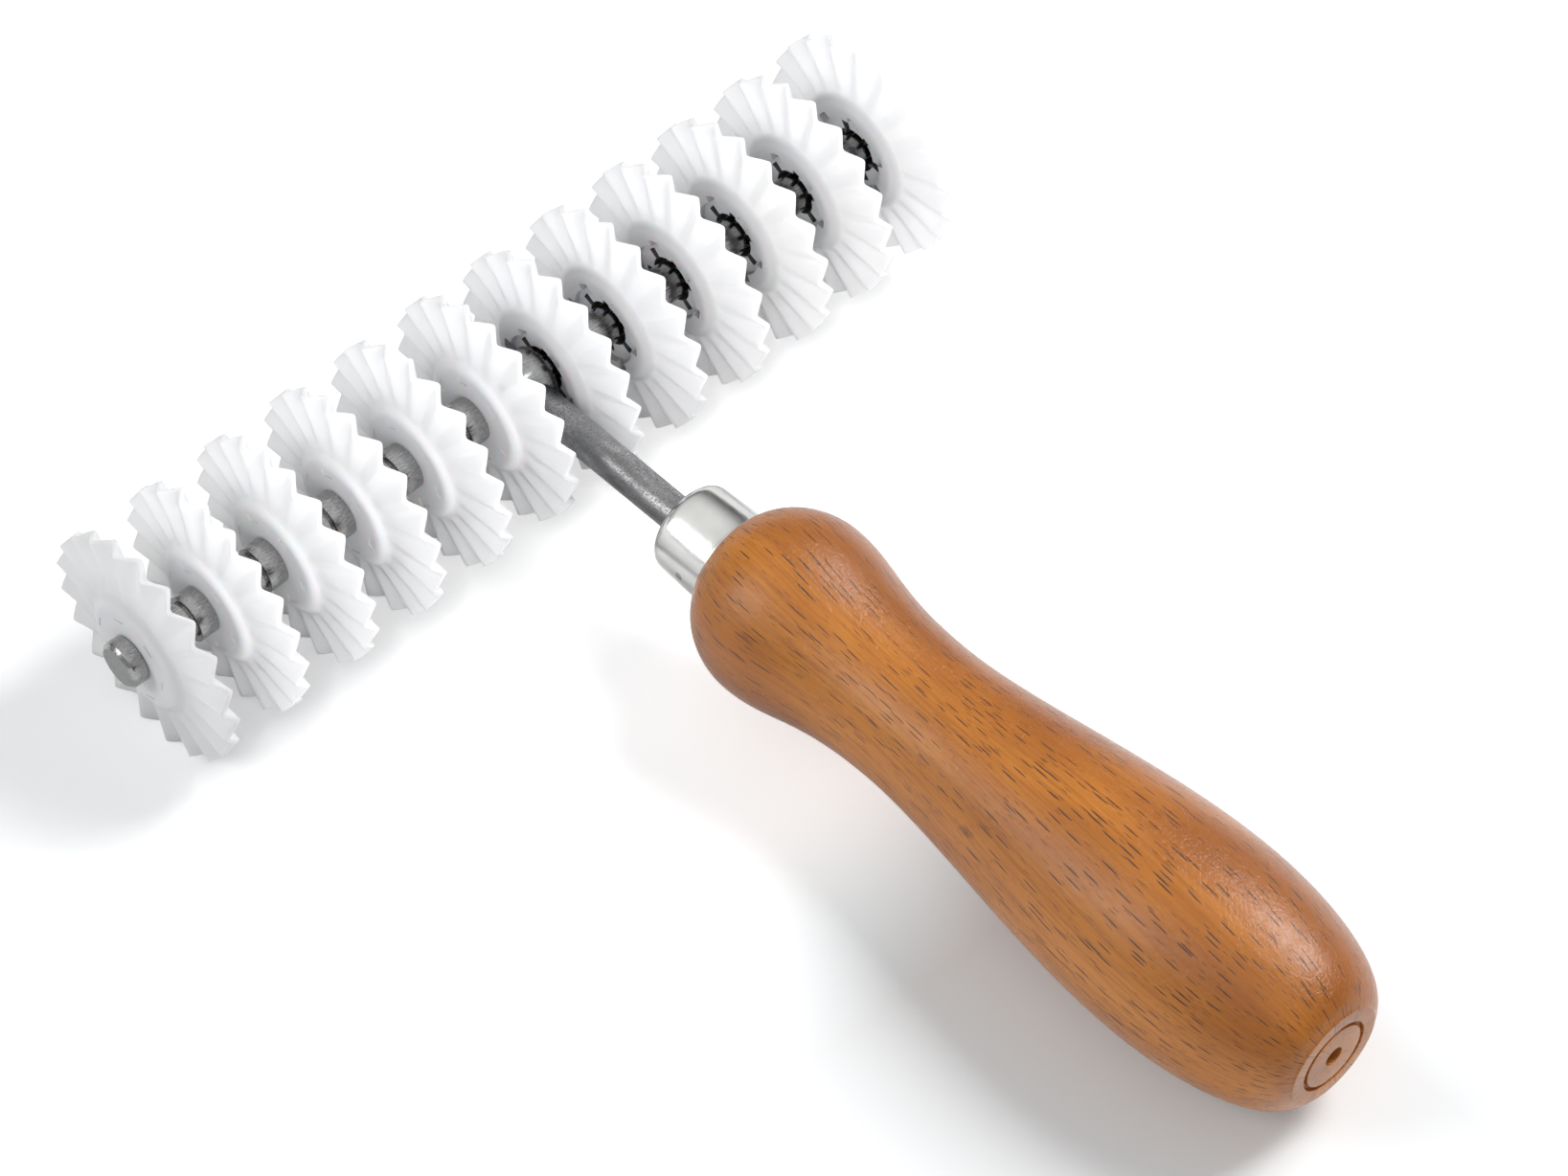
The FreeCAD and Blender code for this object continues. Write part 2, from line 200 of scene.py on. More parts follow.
# ---- node trees -------------------------------------------------------------
class Rule:
    """Adds nodes to a tree, one call for each step of a rule."""

    def __init__(self, tree):
        self.tree = tree

    def feed(self, socket, value):
        if isinstance(value, bpy.types.NodeSocket):
            self.tree.links.new(value, socket)
        else:
            socket.default_value = value

    def node(self, kind, inputs=None, **settings):
        node = self.tree.nodes.new(kind)
        for name, value in settings.items():
            setattr(node, name, value)
        for name, value in (inputs or {}).items():
            self.feed(node.inputs[name], value)
        return node

    def maths(self, operation, *values):
        node = self.tree.nodes.new("ShaderNodeMath")
        node.operation = operation
        for socket, value in zip(node.inputs, values):
            self.feed(socket, value)
        return node.outputs[0]

    times = partialmethod(maths, "MULTIPLY")
    plus = partialmethod(maths, "ADD")
    minus = partialmethod(maths, "SUBTRACT")
    over = partialmethod(maths, "DIVIDE")
    larger = partialmethod(maths, "MAXIMUM")
    below = partialmethod(maths, "LESS_THAN")

    def vector(self, x=0.0, y=0.0, z=0.0):
        node = self.tree.nodes.new("ShaderNodeCombineXYZ")
        for socket, value in zip(node.inputs, (x, y, z)):
            self.feed(socket, value)
        return node.outputs[0]

    def split(self, vector):
        node = self.tree.nodes.new("ShaderNodeSeparateXYZ")
        self.feed(node.inputs[0], vector)
        return node.outputs

    def span(self, value, low, high, to_low=0.0, to_high=1.0, smooth=False):
        return self.node("ShaderNodeMapRange", {
            "Value": value, "From Min": low, "From Max": high, "To Min": to_low,
            "To Max": to_high}, interpolation_type="SMOOTHSTEP" if smooth else "LINEAR").outputs[0]

    def blend(self, share, first, second):
        """A colour between the first, at share 0, and the second, at share 1."""
        node = self.node("ShaderNodeMix", data_type="RGBA")
        self.feed(node.inputs["Factor"], share)
        self.feed(node.inputs[6], first)
        self.feed(node.inputs[7], second)
        return node.outputs[2]


TURNING_INPUTS = (
    ("Outline", "Geometry", None),
    ("Columns", "Int", 96),
    ("Heading", "Float", 0.0),
    ("Turn", "Float", 0.0),
    ("Place", "Vector", None),
    ("Finish", "Material", None),
)
PLEAT_INPUTS = (
    ("Tooth Count", "Int", 20),
    ("Swing", "Float", 0.001),
    ("Pleat Start", "Float", 0.0104),
    ("Rim Radius", "Float", 0.02),
    ("First Flank Share", "Float", 0.48),
    ("Fold Crispness", "Float", 0.95),
    ("Key Count", "Int", 6),
    ("Deep Key Half Angle", "Float", 0.14),
    ("Shallow Key Half Angle", "Float", 0.16),
)


def pleat_wave(rule, given, angle):
    """From 1 to -1 and back for each tooth, with its folds a little rounded."""
    pitch = rule.over(math.tau, given["Tooth Count"])
    share = rule.maths("FRACT", rule.over(rule.plus(angle, math.tau), pitch))
    first = given["First Flank Share"]
    falling = rule.minus(1.0, rule.over(rule.times(share, 2.0), first))
    late = rule.minus(share, first)
    rest = rule.minus(1.0, first)
    rising = rule.minus(rule.over(rule.times(late, 2.0), rest), 1.0)
    wave = rule.larger(falling, rising)
    crisp = given["Fold Crispness"]
    rounded = rule.maths("SINE", rule.times(wave, math.pi / 2))
    rounded = rule.maths("ARCSINE", rule.times(rounded, crisp))
    return rule.over(rounded, rule.maths("ARCSINE", crisp))


def near_key(rule, given, angle, half_angle, offset):
    """1 within a key notch and 0 elsewhere."""
    pitch = rule.over(math.tau, given["Key Count"])
    turned = rule.over(rule.plus(angle, math.tau), pitch)
    turned = rule.plus(turned, 0.5 + offset)
    away = rule.maths("ABSOLUTE", rule.minus(rule.maths("FRACT", turned), 0.5))
    return rule.below(rule.times(away, pitch), half_angle)


def turning_tree(name, pleated):
    """Turns an outline about the X axis, then heads and places the piece."""
    tree = bpy.data.node_groups.new(name, "GeometryNodeTree")
    wanted = TURNING_INPUTS + (PLEAT_INPUTS if pleated else ())
    for label, kind, default in wanted:
        socket = tree.interface.new_socket(
            name=label, in_out="INPUT", socket_type="NodeSocket" + kind)
        if default is not None:
            socket.default_value = default
    tree.interface.new_socket(name="Piece", in_out="OUTPUT", socket_type="NodeSocketGeometry")
    rule = Rule(tree)
    source = rule.node("NodeGroupInput")
    given = {label: source.outputs[label] for label, _kind, _default in wanted}
    columns = given["Columns"]
    size = rule.node("GeometryNodeAttributeDomainSize", {"Geometry": given["Outline"]})
    points = size.outputs["Point Count"]
    rows = rule.minus(points, 1.0)
    grid = rule.node("GeometryNodeMeshGrid", {
        "Size X": columns, "Size Y": rows,
        "Vertices X": rule.plus(columns, 1.0), "Vertices Y": points})
    where = rule.node("GeometryNodeInputPosition").outputs[0]
    place = rule.split(where)
    column = rule.plus(place[0], rule.over(columns, 2.0))
    row = rule.maths("ROUND", rule.plus(place[1], rule.over(rows, 2.0)))
    angle = rule.times(rule.over(column, columns), math.tau)

    def from_outline(field, data_type):
        return rule.node("GeometryNodeSampleIndex", {
            "Geometry": given["Outline"], "Value": field, "Index": row},
            data_type=data_type, domain="POINT").outputs[0]

    def mark(name):
        node = rule.node("GeometryNodeInputNamedAttribute", {"Name": name}, data_type="FLOAT")
        return from_outline(node.outputs["Attribute"], "FLOAT")

    along, radius = rule.split(from_outline(where, "FLOAT_VECTOR"))[:2]
    if pleated:
        reach = rule.minus(given["Rim Radius"], given["Pleat Start"])
        grown = rule.over(rule.minus(radius, given["Pleat Start"]), reach)
        grown = rule.larger(grown, 0.0)
        swing = rule.times(pleat_wave(rule, given, angle), given["Swing"])
        along = rule.plus(along, rule.times(swing, grown))
        deep = near_key(rule, given, angle, given["Deep Key Half Angle"], 0.0)
        shallow = near_key(rule, given, angle, given["Shallow Key Half Angle"], 0.5)
        radius = rule.larger(radius, rule.times(deep, mark("deep_key")))
        radius = rule.larger(radius, rule.times(shallow, mark("shallow_key")))
        along = rule.minus(along, rule.times(shallow, mark("sink")))
    across = rule.times(radius, rule.maths("SINE", angle))
    across = rule.times(across, -1.0)
    position = rule.vector(along, across, rule.times(radius, rule.maths("COSINE", angle)))
    moved = rule.node("GeometryNodeSetPosition", {
        "Geometry": grid.outputs["Mesh"], "Position": position})
    closed = rule.node("GeometryNodeMergeByDistance", {
        "Geometry": moved.outputs[0], "Distance": 2e-6})
    headed = rule.node("GeometryNodeTransform", {
        "Geometry": closed.outputs[0], "Rotation": rule.vector(z=given["Heading"])})
    turned = rule.node("GeometryNodeTransform", {
        "Geometry": headed.outputs[0], "Rotation": rule.vector(x=given["Turn"]),
        "Translation": given["Place"]})
    smooth = rule.node("GeometryNodeSetShadeSmooth", {"Geometry": turned.outputs[0]})
    whole = rule.node("GeometryNodeRealizeInstances", {"Geometry": smooth.outputs[0]})
    coated = rule.node("GeometryNodeSetMaterial", {
        "Geometry": whole.outputs[0], "Material": given["Finish"]})
    result = rule.node("NodeGroupOutput")
    tree.links.new(coated.outputs[0], result.inputs[0])
    return tree


def tree_named(name, pleated=False):
    return bpy.data.node_groups.get(name) or turning_tree(name, pleated)


def outline_mesh(name, points, marks=None):
    """The outline as loose edges, with any marks that the rule reads."""
    mesh = bpy.data.meshes.new(name)
    mesh.from_pydata(
        [(point.x * MM, point.y * MM, 0.0) for point in points],
        [(number, number + 1) for number in range(len(points) - 1)], [])
    for label, values in (marks or {}).items():
        attribute = mesh.attributes.new(label, "FLOAT", "POINT")
        attribute.data.foreach_set("value", [value * MM for value in values])
    return mesh


def make_piece(name, tree, points, settings, marks=None, crease=35.0):
    """Turns an outline into a finished plain mesh at the origin."""
    draft = bpy.data.objects.new(name + "_draft", outline_mesh(name + "_outline", points, marks))
    bpy.context.scene.collection.objects.link(draft)
    modifier = draft.modifiers.new("rule", "NODES")
    modifier.node_group = tree
    sockets = {
        item.name: item.identifier for item in tree.interface.items_tree
        if item.item_type == "SOCKET" and item.in_out == "INPUT"}
    for label, value in settings.items():
        modifier[sockets[label]] = value
    bpy.context.view_layer.update()
    evaluated = draft.evaluated_get(bpy.context.evaluated_depsgraph_get())
    mesh = bpy.data.meshes.new_from_object(evaluated)
    outline = draft.data
    bpy.data.objects.remove(draft)
    bpy.data.meshes.remove(outline)
    mesh.name = name
    if not mesh.polygons:
        raise RuntimeError(name + " came out empty")
    shell = bmesh.new()
    shell.from_mesh(mesh)
    bmesh.ops.recalc_face_normals(shell, faces=shell.faces)
    if any(not edge.is_manifold for edge in shell.edges):
        raise RuntimeError(name + " is not closed")
    shell.to_mesh(mesh)
    shell.free()
    mesh.set_sharp_from_angle(angle=math.radians(crease))
    piece = bpy.data.objects.new(name, mesh)
    bpy.context.scene.collection.objects.link(piece)
    return piece


def belongs(piece, body, node):
    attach(piece, body)
    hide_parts(node)


def turned_piece(name, points, finish, node, heading, turn=0.0, place=None, columns=96,
                 crease=35.0):
    """A lathe-turned piece of the frame, from its outline."""
    piece = make_piece(name, tree_named("Turned Piece"), points, {
        "Columns": columns, "Heading": heading, "Turn": turn,
        "Place": tuple(AXLE if place is None else place), "Finish": finish}, crease=crease)
    belongs(piece, FRAME_BODY, node)
    return piece


# ---- finishes ---------------------------------------------------------------
class Finish(Rule):
    """A material built from nodes on Object coordinates."""

    def __init__(self, name):
        self.material = bpy.data.materials.new(name)
        self.material.use_nodes = True
        super().__init__(self.material.node_tree)
        self.shader = self.tree.nodes["Principled BSDF"]
        self.object = self.node("ShaderNodeTexCoord").outputs["Object"]

    def mapped(self, scale=(1, 1, 1), place=(0, 0, 0), turn=(0, 0, 0), source=None):
        return self.node("ShaderNodeMapping", {
            "Vector": source or self.object, "Location": place, "Rotation": turn,
            "Scale": scale}).outputs[0]

    def noise(self, vector, scale, detail=3.0, roughness=0.55, distortion=0.0):
        return self.node("ShaderNodeTexNoise", {
            "Vector": vector, "Scale": scale, "Detail": detail, "Roughness": roughness,
            "Distortion": distortion}).outputs["Fac"]

    def cells(self, vector, scale, feature="F1"):
        return self.node("ShaderNodeTexVoronoi", {
            "Vector": vector, "Scale": scale}, feature=feature).outputs["Distance"]

    def bump(self, height, distance, strength=1.0, over=None):
        inputs = {"Height": height, "Distance": distance, "Strength": strength}
        if over is not None:
            inputs["Normal"] = over
        return self.node("ShaderNodeBump", inputs).outputs[0]

    def away_from(self, source, first, second):
        """Distance from one of the axes of the source, given its other two."""
        place = self.split(source)
        squares = [self.times(place[axis], place[axis]) for axis in (first, second)]
        return self.maths("SQRT", self.plus(*squares))

    def mixed(self, share, first, second):
        node = self.node("ShaderNodeMixShader", {"Fac": share})
        self.feed(node.inputs[1], first)
        self.feed(node.inputs[2], second)
        return node.outputs[0]

    def wound(self, source, radius, twist):
        """Coordinates wound on a plain cylinder about Y, so that marks keep their length."""
        place = self.split(source)
        angle = self.maths("ARCTAN2", place[2], place[0])
        angle = self.plus(angle, self.times(place[1], twist))
        across = self.times(self.maths("COSINE", angle), radius)
        up = self.times(self.maths("SINE", angle), radius)
        slope = self.span(place[1], *WAIST_TO_BUTT, 1.0, -1.0)
        fall = self.minus(MEAN_RADIUS, self.away_from(source, 0, 2))
        along = self.plus(place[1], self.times(slope, fall))
        return self.vector(across, along, up)

    def set(self, **values):
        for name, value in values.items():
            self.feed(self.shader.inputs[name.replace("_", " ")], value)


def rgb(colour):
    return tuple(colour) + (1.0,)


def nylon(settings):
    """Natural white nylon: thin pleats let light through; the thick hub is given painted shade, and
    its bore and notch walls a painted shadow.
    """
    f = Finish("Natural Nylon")
    from_axle = f.away_from(f.mapped(place=tuple(-AXLE)), 1, 2)
    cloud = f.noise(f.object, 70.0, 2.0)
    warmth = f.span(f.noise(f.mapped(place=(0.9, 0.2, 0.4)), 22.0, 1.0), 0.52, 0.72, 0.0, 0.45)
    tint = f.blend(
        f.span(cloud, 0.35, 0.65), rgb(settings.nylon_colour), rgb(settings.nylon_shade))
    tint = f.blend(warmth, tint, rgb(settings.nylon_warm))
    grain = f.noise(f.object, 1400.0, 2.0)
    flow = f.noise(f.object, 260.0, 2.0)
    normal = f.bump(grain, 0.00002, 0.35)
    normal = f.bump(flow, 0.00012, 0.25, normal)
    rough = f.span(flow, 0.3, 0.7, 0.36, 0.5)
    f.set(Base_Color=tint, Roughness=rough, Normal=normal)
    f.set(IOR=1.53, Specular_IOR_Level=0.35)
    f.set(Subsurface_Weight=0.8, Subsurface_Radius=(1.0, 0.98, 0.95), Subsurface_Scale=0.004)
    through = f.node("ShaderNodeBsdfTranslucent", {"Color": tint, "Normal": normal})
    thin = f.mixed(0.35, f.shader.outputs[0], through.outputs[0])
    # masks for painted shadow: the inboard bore, the deep-notch walls and, at a little under half
    # strength, the shallow-step walls
    facing = f.split(f.node("ShaderNodeTexCoord").outputs["Normal"])[0]
    outboard = f.maths("GREATER_THAN", f.times(facing, f.split(f.object)[0]), 0.0)
    upright = f.below(f.maths("ABSOLUTE", facing), WALL_FACING)
    wall = f.times(f.below(from_axle, NOTCH_REACH), upright)
    step = f.times(f.below(from_axle, STEP_REACH), upright)
    inside = f.times(f.below(from_axle, BORE_REACH),
                   f.minus(1.0, outboard))
    inside = f.larger(inside, wall)
    # grey painted shade for the counterbore, and a near-black painted shadow for the bore and notch
    # walls
    recess, deep = rgb(settings.nylon_recess_shade), rgb(settings.nylon_hollow_shadow)
    # painted shade over the hub: mid grey on the inboard face, lighter in the counterbore ring and
    # lighter still on the outboard face, standing in for thick nylon that lets little light through
    painted_hub_shade = f.blend(f.span(from_axle, *RECESS_EDGE), recess, rgb(settings.nylon_hub_shade))
    painted_hub_shade = f.blend(outboard, painted_hub_shade, rgb(settings.nylon_face_shade))
    # a random cloud pulls the painted hub shade a little toward the lighter counterbore grey
    painted_hub_shade = f.blend(f.span(cloud, 0.35, 0.65, 0.0, 0.25), painted_hub_shade, recess)
    # painted shadow on the shallow-step walls, then on the bore and deep-notch walls
    painted_hub_shade = f.blend(f.times(step, 0.45), painted_hub_shade, deep)
    painted_hub_shade = f.blend(inside, painted_hub_shade, deep)
    # the hub's shader takes the painted shade as its base colour, with little light let through
    thick = f.node("ShaderNodeBsdfPrincipled", {
        "Base Color": painted_hub_shade, "Roughness": rough, "Normal": normal, "IOR": 1.53,
        "Subsurface Weight": 0.3, "Subsurface Scale": 0.0006, "Specular IOR Level": 0.35})
    # share of the painted-shade hub shader: whole inside the hub, none out on the pleated plate
    hub = f.span(from_axle, *HUB_EDGE, 1.0, 0.0, True)
    whole = f.mixed(hub, thin, thick.outputs[0])
    f.feed(f.tree.nodes["Material Output"].inputs["Surface"], whole)
    return f.material


def turned_steel(settings):
    """Turned and tumbled steel: fine strokes along the axle over fine lathe rings."""
    f = Finish("Turned Steel")
    centred = f.mapped(place=tuple(-AXLE))
    strokes = f.noise(f.mapped(scale=(0.16, 1, 1), source=centred), 5200.0, 2.0, 0.6)
    broad = f.noise(centred, 420.0, 2.0)
    grain = f.noise(centred, 6000.0, 2.0)
    turned = f.vector(f.split(centred)[0], f.away_from(centred, 1, 2))
    rings = f.noise(turned, 5000.0, 2.0)
    light = rgb(settings.steel_colour)
    tone = f.blend(f.span(strokes, 0.32, 0.7), rgb(settings.steel_dark), light)
    tone = f.blend(f.span(grain, 0.35, 0.65, 0.0, 0.6), tone, light)
    rough = f.plus(
        f.span(strokes, 0.3, 0.7, 0.12, 0.26), f.span(broad, 0.35, 0.65, -0.02, 0.06))
    normal = f.bump(strokes, 0.00001, 0.6)
    normal = f.bump(rings, 0.00001, 0.6, normal)
    f.set(Base_Color=tone, Roughness=rough, Normal=normal, Metallic=1.0)
    return f.material


def drawn_steel(settings):
    """Drawn bar: long faint draw lines, small pits and darker smudges."""
    f = Finish("Drawn Steel")
    centred = f.mapped(place=tuple(-AXLE))
    lines = f.noise(f.mapped(scale=(1, 0.02, 1), source=centred), 3800.0, 3.0, 0.6)
    speckle = f.noise(centred, 3400.0, 2.0, 0.6)
    smudge = f.noise(f.mapped(scale=(1, 0.35, 1), source=centred), 160.0, 3.0)
    pits = f.span(f.cells(centred, 2400.0), 0.12, 0.3, 1.0, 0.0, True)
    dark = rgb(settings.bar_dark)
    tone = f.blend(f.span(smudge, 0.35, 0.7), dark, rgb(settings.bar_colour))
    tone = f.blend(f.span(speckle, 0.45, 0.6, 0.0, 0.75), tone, dark)
    tone = f.blend(f.times(pits, 0.5), tone, rgb(settings.pit_colour))
    rough = f.plus(
        f.span(speckle, 0.3, 0.7, 0.24, 0.4), f.span(smudge, 0.3, 0.7, 0.05, -0.03))
    normal = f.bump(lines, 0.00002, 0.5)
    normal = f.bump(pits, -0.00006, 0.6, normal)
    normal = f.bump(speckle, 0.00006, 0.8, normal)
    f.set(Base_Color=tone, Roughness=rough, Normal=normal, Metallic=1.0)
    return f.material


def nickel(settings):
    """Bright nickel plate with the faint waviness of drawn metal."""
    f = Finish("Bright Nickel")
    wave = f.noise(f.object, 120.0, 2.0)
    fine = f.noise(f.mapped(scale=(1, 0.25, 1)), 2600.0, 3.0, 0.6)
    tone = f.blend(
        f.span(wave, 0.35, 0.65), rgb(settings.nickel_colour), rgb(settings.nickel_shade))
    rough = f.plus(f.span(fine, 0.3, 0.7, 0.13, 0.2), f.span(wave, 0.3, 0.7, 0.0, 0.05))
    normal = f.bump(fine, 0.000008, 0.5)
    normal = f.bump(wave, 0.00008, 0.25, normal)
    f.set(Base_Color=tone, Roughness=rough, Normal=normal, Metallic=1.0)
    return f.material


def beech_tone(f, settings):
    """Steamed beech: soft growth bands, fine fibres and many short dark flecks along the handle."""
    straight = f.mapped(place=tuple(-AXLE))
    straight = f.mapped(turn=(-HANDLE_TILT, 0.0, 0.0), source=straight)
    slanted = f.wound(straight, WINDING_RADIUS, WINDING_TWIST)
    bands = f.noise(f.mapped(scale=(1, 0.06, 0.45), source=straight), 150.0, 3.0, 0.5, 0.35)
    fibre = f.noise(f.mapped(scale=(1, 0.035, 1), source=slanted), 2200.0, 3.0, 0.6)
    cloud = f.noise(f.mapped(scale=(1, 0.4, 1), source=straight), 42.0, 2.0)
    flecks = f.cells(f.mapped(scale=(1.0, 0.062, 1.0), source=slanted), 2050.0)
    elsewhere = f.mapped(scale=(1.0, 0.1, 1.0), place=(0.013, 0.007, 0.003), source=slanted)
    short = f.cells(elsewhere, 2400.0)
    deep = rgb(settings.beech_deep)
    tone = f.blend(f.span(bands, 0.3, 0.7), rgb(settings.beech_light), rgb(settings.beech_colour))
    tone = f.blend(f.span(cloud, 0.4, 0.62, 0.0, 0.8), tone, deep)
    tone = f.blend(f.span(fibre, 0.42, 0.66, 0.0, 0.5), tone, deep)
    long_fleck = f.span(flecks, 0.19, 0.25, 1.0, 0.0, True)
    short_fleck = f.span(short, 0.14, 0.22, 0.6, 0.0, True)
    fleck = f.larger(long_fleck, short_fleck)
    tone = f.blend(f.times(fleck, 0.9), tone, rgb(settings.fleck_colour))
    return tone, fibre, fleck, straight


def lacquered_beech(settings):
    """Beech under an orange-brown lacquer that has sunk a little into the grain."""
    f = Finish("Lacquered Beech")
    tone, fibre, fleck, straight = beech_tone(f, settings)
    peel = f.noise(straight, 950.0, 3.0, 0.6)
    fine_peel = f.noise(straight, 2400.0, 3.0, 0.65)
    craze = f.cells(f.mapped(scale=(1, 0.7, 1), source=straight), 620.0, "DISTANCE_TO_EDGE")
    wear = f.noise(straight, 90.0, 4.0, 0.6)
    rough = f.plus(
        f.span(peel, 0.3, 0.7, 0.24, 0.4), f.span(wear, 0.45, 0.75, 0.0, 0.12))
    normal = f.bump(fibre, 0.00003, 0.35)
    normal = f.bump(fleck, -0.00005, 0.5, normal)
    coat = f.bump(peel, 0.00016, 0.8)
    coat = f.bump(fine_peel, 0.00012, 1.0, coat)
    coat = f.bump(f.span(craze, 0.0, 0.12), 0.00005, 0.6, coat)
    coat = f.bump(fleck, -0.00004, 0.4, coat)
    f.set(Base_Color=tone, Roughness=rough, Normal=normal, IOR=1.45, Specular_IOR_Level=0.2)
    f.set(Coat_Normal=coat, Coat_Weight=0.8, Coat_Roughness=0.2, Coat_IOR=1.45)
    return f.material


def bare_beech(settings):
    """The end grain of the butt, under a thin matt film."""
    f = Finish("Bare Beech")
    pores = f.cells(f.mapped(scale=(1, 0.1, 1)), 2600.0)
    rays = f.noise(f.mapped(scale=(1, 0.1, 0.16)), 900.0, 3.0)
    stain = f.noise(f.object, 260.0, 3.0)
    tone = f.blend(f.span(rays, 0.35, 0.65), rgb(settings.end_light), rgb(settings.end_dark))
    tone = f.blend(f.span(stain, 0.4, 0.7, 0.0, 0.5), tone, rgb(settings.end_dark))
    tone = f.blend(f.span(pores, 0.05, 0.2, 0.5, 0.0), tone, rgb(settings.fleck_colour))
    normal = f.bump(pores, 0.00004, 0.5)
    normal = f.bump(rays, 0.00006, 0.5, normal)
    f.set(Base_Color=tone, Roughness=f.span(stain, 0.3, 0.7, 0.42, 0.62), Normal=normal)
    return f.material


MAKERS = {
    "Natural Nylon": nylon, "Turned Steel": turned_steel, "Drawn Steel": drawn_steel,
    "Bright Nickel": nickel, "Lacquered Beech": lacquered_beech, "Bare Beech": bare_beech}


def finish(name):
    settings = bpy.context.scene.tracing_wheel.finishes
    return bpy.data.materials.get(name) or MAKERS[name](settings)


# ---- what a user would change -----------------------------------------------
def length_mm(label, words, default):
    return FloatProperty(
        name=label, description=words + ", in millimetres", default=default, min=0.0)


def colour(label, words, default):
    return FloatVectorProperty(
        name=label, description=words, default=default, size=3, min=0.0, max=1.0, subtype="COLOR")


def share(label, words, default):
    return FloatProperty(
        name=label, description=words, default=default, min=0.0, max=1.0, subtype="FACTOR")


def watts(label, words, default):
    return FloatProperty(
        name=label, description="Power of the " + words, default=default, min=0.0, unit="POWER")


class WheelSettings(bpy.types.PropertyGroup):
    tooth_count: IntProperty(
        name="Tooth Count", description="Pleats round one wheel", default=20, min=3)
    tooth_rise: length_mm("Tooth Rise", "How far the rim swings along the axle", 2.1)
    first_flank: share("First Flank", "Share of a tooth's pitch taken by its first flank", 0.48)
    fold_crispness: share("Fold Crispness", "How crisp the folds between the flanks are", 0.955)
    rim_land: length_mm("Rim Land", "Thickness of the plate at the rim", 0.9)
    root_thickness: length_mm("Root Thickness", "Thickness of the plate at the hub", 3.2)
    pleat_start: length_mm("Pleat Start", "Radius where the pleats begin", 10.4)
    hub_radius: length_mm("Hub Radius", "Radius of the hub's flat face", 9.2)
    counterbore_radius: length_mm("Counterbore Radius", "Radius of the hub's shallow recess", 6.7)
    counterbore_depth: length_mm("Counterbore Depth", "Depth of the hub's shallow recess", 1.2)
    recess_radius: length_mm("Recess Radius", "Radius of the deep recess round the neck", 4.0)
    deep_key_radius: length_mm("Deep Key Radius", "How far the deep notches reach", 5.8)
    shallow_key_radius: length_mm("Shallow Key Radius", "How far the shallow ones reach", 8.0)
    journal_length: length_mm("Journal Length", "Length of the bore that runs on the axle", 2.6)
    journal_radius: length_mm("Journal Radius", "Radius of the bore that runs on the axle", 2.55)


class StackSettings(bpy.types.PropertyGroup):
    collar_radius: length_mm("Collar Radius", "Radius of the collars and end caps", 4.0)
    collar_length: length_mm("Collar Length", "Length of a spacer's collar", 3.3)
    neck_radius: length_mm("Neck Radius", "Radius of the sleeves and necks", 3.2)
    bore_radius: length_mm("Bore Radius", "Radius of the sleeves' bores", 2.52)
    cap_chamfer: length_mm("Cap Chamfer", "Chamfer on the end caps", 0.6)
    shank_radius: length_mm("Shank Radius", "Radius of the round shank", 3.0)


class HandleSettings(bpy.types.PropertyGroup):
    ferrule_distance: length_mm("Ferrule Distance", "From the axle to the ferrule's front", 38.6)
    ferrule_length: length_mm("Ferrule Length", "Length of the ferrule", 11.3)
    ferrule_front: length_mm("Ferrule Front", "Radius of the ferrule at its front", 7.7)
    ferrule_back: length_mm("Ferrule Back", "Radius of the ferrule at its back", 8.15)
    ferrule_wall: length_mm("Ferrule Wall", "Thickness of the ferrule's metal", 0.9)
    pin_radius: length_mm("Pin Radius", "Radius of the ferrule's nail", 0.7)
    pin_set_back: length_mm("Pin Set Back", "From the ferrule's front to its nail", 6.8)
    shoulder: length_mm("Shoulder", "Radius of the wood behind the ferrule", 8.4)
    bulb: length_mm("Bulb", "Radius of the front swelling", 15.55)
    bulb_distance: length_mm("Bulb Distance", "From the shoulder to the front swelling", 12.0)
    waist: length_mm("Waist", "Radius of the narrow part", 12.05)
    waist_distance: length_mm("Waist Distance", "From the shoulder to the narrow part", 39.0)
    belly: length_mm("Belly", "Radius of the widest part", 17.35)
    belly_from_butt: length_mm("Belly From Butt", "From the butt to the widest part", 28.5)
    butt: length_mm("Butt", "Radius of the flat butt", 8.5)
    ring_radius: length_mm("Ring Radius", "Radius of the lathe ring in the butt", 5.8)
    hole_radius: length_mm("Hole Radius", "Radius of the hole in the butt", 1.6)
    hole_depth: length_mm("Hole Depth", "Depth of the hole in the butt", 12.0)


